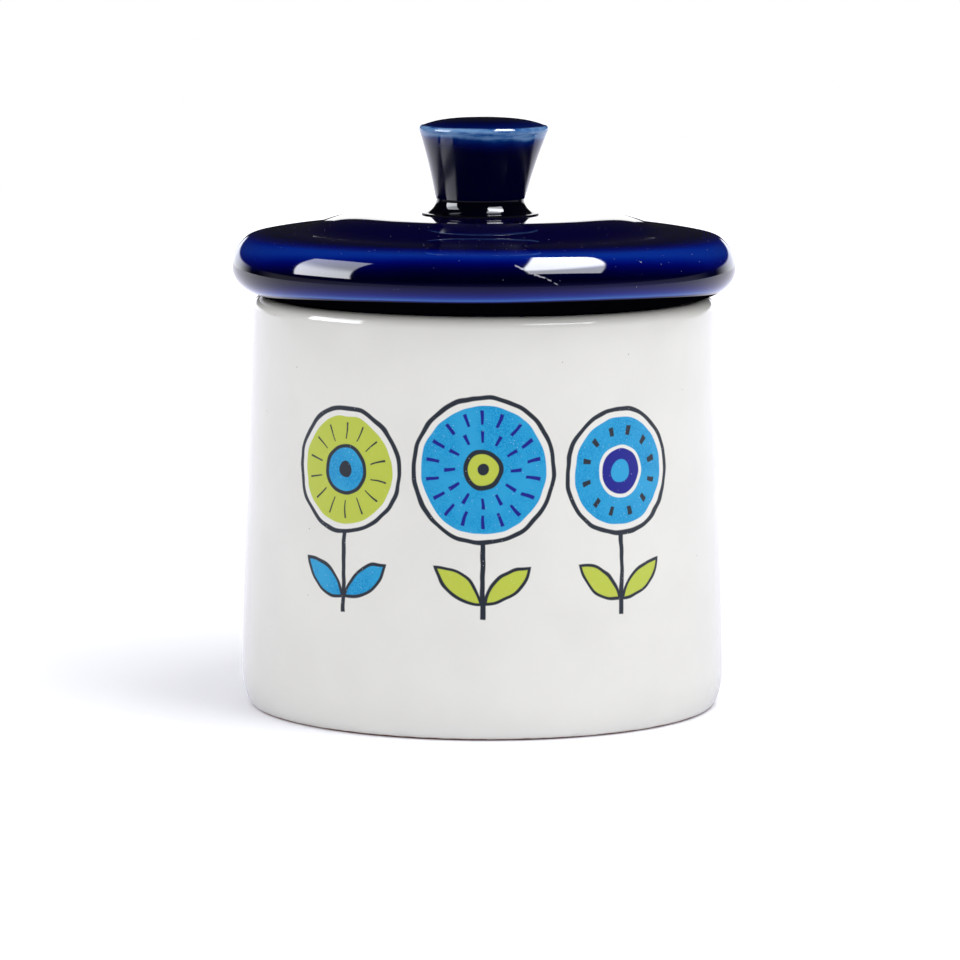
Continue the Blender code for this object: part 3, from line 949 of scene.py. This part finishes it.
def floor_material():
    """A plain pale floor; in reflections it is bright behind the jar and dim in front of it."""
    material = bpy.data.materials.new("floor")
    material.use_nodes = True
    tree = material.node_tree
    tree.nodes.clear()
    output = tree.nodes.new("ShaderNodeOutputMaterial")
    path = tree.nodes.new("ShaderNodeLightPath")
    diffuse = tree.nodes.new("ShaderNodeBsdfDiffuse")
    diffuse.inputs["Color"].default_value = (*FLOOR_COLOUR, 1)
    own = tree.nodes.new("ShaderNodeEmission")
    coordinates = tree.nodes.new("ShaderNodeTexCoord")
    split = tree.nodes.new("ShaderNodeSeparateXYZ")
    tree.links.new(coordinates.outputs["Object"], split.inputs[0])
    aside, back = (Field(tree, split.outputs[place]) for place in range(2))
    distance = (aside * aside + back * back).math("SQRT")
    own_light = distance.ramp(*FLOOR_FAR_LIMITS) * FLOOR_FAR_LIGHT + FLOOR_OWN_LIGHT
    own_strength = Field(tree, path.outputs["Is Camera Ray"]) * own_light
    tree.links.new(own_strength.socket, own.inputs["Strength"])
    seen = tree.nodes.new("ShaderNodeAddShader")
    tree.links.new(diffuse.outputs[0], seen.inputs[0])
    tree.links.new(own.outputs[0], seen.inputs[1])
    behind = back.math("DIVIDE", distance).ramp(*GLOSS_BEHIND_LIMITS, smooth=False)
    far = blended(distance.ramp(*GLOSS_FAR_LIMITS), FLOOR_GLOSS_NEAR, FLOOR_GLOSS_FAR)
    mirrored = tree.nodes.new("ShaderNodeEmission")
    mirrored.inputs["Color"].default_value = (*FLOOR_GLOSS_COLOUR, 1)
    tree.links.new(blended(behind, FRONT_GLOSS, far).socket, mirrored.inputs["Strength"])
    mixed = tree.nodes.new("ShaderNodeMixShader")
    tree.links.new(path.outputs["Is Glossy Ray"], mixed.inputs[0])
    tree.links.new(seen.outputs[0], mixed.inputs[1])
    tree.links.new(mirrored.outputs[0], mixed.inputs[2])
    tree.links.new(mixed.outputs[0], output.inputs["Surface"])
    return material


def make_floor():
    """A pale floor, from a little behind the camera to far behind the jar."""
    mesh = bpy.data.meshes.new("floor")
    corners = [(-FLOOR_RADIUS, -FLOOR_FRONT, 0), (FLOOR_RADIUS, -FLOOR_FRONT, 0),
               (FLOOR_RADIUS, FLOOR_RADIUS, 0), (-FLOOR_RADIUS, FLOOR_RADIUS, 0)]
    mesh.from_pydata(corners, [], [(0, 1, 2, 3)])
    mesh.materials.append(floor_material())
    floor = bpy.data.objects.new("floor", mesh)
    bpy.context.scene.collection.objects.link(floor)


# A small white card behind the lid, in metres: its place, and its corners as x and height
CARD_BACK = 0.080
CARD_OUTLINE = ((-0.024, 0.084), (0.024, 0.084), (0.035, 0.092), (0.035, 0.101), (0.020, 0.109),
                (-0.020, 0.109), (-0.035, 0.101), (-0.035, 0.092))
CARD_GLOSS = 1.8


def make_card():
    """A small white card behind the lid: the gleam on the raised middle of the lid's top."""
    material = bpy.data.materials.new("card")
    material.use_nodes = True
    tree = material.node_tree
    tree.nodes.clear()
    output = tree.nodes.new("ShaderNodeOutputMaterial")
    gleam = tree.nodes.new("ShaderNodeEmission")
    gleam.inputs["Strength"].default_value = CARD_GLOSS
    tree.links.new(gleam.outputs[0], output.inputs["Surface"])
    mesh = bpy.data.meshes.new("card")
    corners = [(aside, CARD_BACK, height) for aside, height in CARD_OUTLINE]
    mesh.from_pydata(corners, [], [tuple(range(len(corners)))])
    mesh.materials.append(material)
    card = bpy.data.objects.new("card", mesh)
    bpy.context.scene.collection.objects.link(card)
    card.visible_camera = False
    card.visible_diffuse = False
    card.visible_shadow = False


# The room's soft light: its level at the horizon, its fall with height and its tilt to the right
ROOM_LOW = 1.06
ROOM_FALL = 0.50
ROOM_SIDE = 0.18
WHITE_LIGHT = (1.0, 1.0, 1.0)
COOL_LIGHT = (0.92, 0.94, 1.0)

# The room in reflections: a bright band at the horizon behind the jar, haze above it, and the rest
ROOM_GLOSS = 0.006
BACKDROP_GLOSS = 1.8
BAND_TOP_DEGREES = (5.5, 3.5)
BAND_BACK_LIMITS = (0.66, 0.90)
BAND_ASIDE_LIMITS = (0.11, 0.16)
BAND_FRONT_LIMITS = (0.6, 0.3)
HAZE_GLOSS = 0.010
HAZE_BACK_LIMITS = (0.3, 0.9)
HAZE_HEIGHT_LIMITS = (0.60, 0.05)

# Two windows in reflections: corners as azimuth and elevation in degrees, and their light at two heights
LEFT_WINDOW = ((-97, 10), (-112, 43), (-78, 55), (-64, 13))
LEFT_WINDOW_LIGHT = (6.0, 13.0)
LEFT_WINDOW_HEIGHTS = (0.62, 0.41)
RIGHT_WINDOW = ((24, 41), (25, 56), (161, 66), (141, 63), (61, 34))
RIGHT_WINDOW_LIGHT = (9.0, 24.0)
RIGHT_WINDOW_HEIGHTS = (0.74, 0.83)
WINDOW_EDGE = 0.010


def direction_to(azimuth, elevation):
    """Unit vector; azimuth 0 is the camera's side, and positive is to the right, in degrees."""
    side = math.radians(azimuth)
    lift = math.radians(elevation)
    return Vector((math.sin(side) * math.cos(lift), -math.cos(side) * math.cos(lift), math.sin(lift)))


def window_share(tree, direction, corners):
    """1 where a direction falls within the window that has the given corners."""
    points = [direction_to(*corner) for corner in corners]
    middle = sum(points, Vector()) / len(points)
    share = None
    for one, two in zip(points, points[1:] + points[:1]):
        normal = one.cross(two).normalized()
        if normal.dot(middle) < 0:
            normal = -normal
        product = tree.nodes.new("ShaderNodeVectorMath")
        product.operation = "DOT_PRODUCT"
        tree.links.new(direction, product.inputs[0])
        product.inputs[1].default_value = normal
        side = Field(tree, product.outputs["Value"]).ramp(-WINDOW_EDGE, WINDOW_EDGE)
        share = side if share is None else share * side
    return share


def make_world():
    """White for the camera, an even soft room for the shading, and windows and a backdrop in the gloss."""
    world = bpy.data.worlds.new("studio")
    bpy.context.scene.world = world
    world.use_nodes = True
    world.cycles.sampling_method = "NONE"
    tree = world.node_tree
    tree.nodes.clear()
    output = tree.nodes.new("ShaderNodeOutputWorld")
    background = tree.nodes.new("ShaderNodeBackground")
    background.inputs["Color"].default_value = (1, 1, 1, 1)
    tree.links.new(background.outputs[0], output.inputs["Surface"])
    coordinates = tree.nodes.new("ShaderNodeTexCoord")
    direction = coordinates.outputs["Generated"]
    split = tree.nodes.new("ShaderNodeSeparateXYZ")
    tree.links.new(direction, split.inputs[0])
    aside, back, height = (Field(tree, split.outputs[place]) for place in range(3))
    path = tree.nodes.new("ShaderNodeLightPath")
    camera = Field(tree, path.outputs["Is Camera Ray"])
    diffuse = Field(tree, path.outputs["Is Diffuse Ray"])

    low = height.ramp(*(math.sin(math.radians(degrees)) for degrees in BAND_TOP_DEGREES))
    behind = back.ramp(*BAND_BACK_LIMITS) * aside.math("ABSOLUTE").ramp(*BAND_ASIDE_LIMITS)
    level = behind * BACKDROP_GLOSS + back.ramp(*BAND_FRONT_LIMITS) * FRONT_GLOSS
    haze = back.ramp(*HAZE_BACK_LIMITS) * height.ramp(*HAZE_HEIGHT_LIMITS) * HAZE_GLOSS
    glossy = low * level + haze + ROOM_GLOSS
    left = blended(height.ramp(*LEFT_WINDOW_HEIGHTS), *LEFT_WINDOW_LIGHT)
    right = blended(height.ramp(*RIGHT_WINDOW_HEIGHTS), *RIGHT_WINDOW_LIGHT)
    glossy = glossy + window_share(tree, direction, LEFT_WINDOW) * left
    glossy = glossy + window_share(tree, direction, RIGHT_WINDOW) * right
    room = height.math("MAXIMUM", 0.0) * -ROOM_FALL + aside * ROOM_SIDE + ROOM_LOW
    soft = blended(diffuse, glossy, room)
    strength = blended(camera, soft, 1.0)
    tree.links.new(strength.socket, background.inputs["Strength"])
    mirrored = Field(tree, path.outputs["Is Glossy Ray"])
    tree.links.new(painted(mirrored, WHITE_LIGHT, COOL_LIGHT).socket, background.inputs["Color"])


# Lamps: distance in metres, then for each its azimuth, elevation, width, height and radiance
LAMP_DISTANCE = 1.2
KEY_LAMP = (50, 67, 0.40, 0.70, 6.1)
FILL_LAMP = (-78, 45, 0.40, 0.40, 3.9)


def softbox(name, azimuth, elevation, width, height, radiance):
    """A rectangular light aimed at the jar's lid, kept out of the gloss."""
    light = bpy.data.lights.new(name, "AREA")
    light.shape = "RECTANGLE"
    light.size = width
    light.size_y = height
    light.energy = radiance * math.pi * width * height
    lamp = bpy.data.objects.new(name, light)
    bpy.context.scene.collection.objects.link(lamp)
    direction = direction_to(azimuth, elevation)
    lamp.location = Vector((0, 0, LID_SEAT_Z)) + direction * LAMP_DISTANCE
    lamp.rotation_euler = direction.to_track_quat("Z", "Y").to_euler()
    lamp.visible_camera = False
    lamp.visible_glossy = False


def make_lights():
    """A high light from the right, which casts the soft shadow, and a weaker one from the left."""
    softbox("key", *KEY_LAMP)
    softbox("fill", *FILL_LAMP)


def make_camera():
    """The camera at the photograph's viewing angle."""
    data = bpy.data.cameras.new("camera")
    data.sensor_width = SENSOR_WIDTH
    data.lens = FOCAL_PIXELS * SENSOR_WIDTH / PHOTO_SIDE
    data.clip_start = CAMERA_NEAR_LIMIT
    camera = bpy.data.objects.new("camera", data)
    bpy.context.scene.collection.objects.link(camera)
    aside = (AXIS_PIXEL_X - PHOTO_SIDE / 2) * CAMERA_DISTANCE / FOCAL_PIXELS
    turn = Matrix.Rotation(math.pi / 2 - CAMERA_PITCH, 4, "X") @ Matrix.Rotation(CAMERA_ROLL, 4, "Z")
    camera.matrix_world = Matrix.Translation((-aside, -CAMERA_DISTANCE, CAMERA_HEIGHT)) @ turn
    bpy.context.scene.camera = camera


make_jar()
make_floor()
make_card()
make_world()
make_lights()
make_camera()
bpy.context.scene.view_settings.view_transform = "Standard"
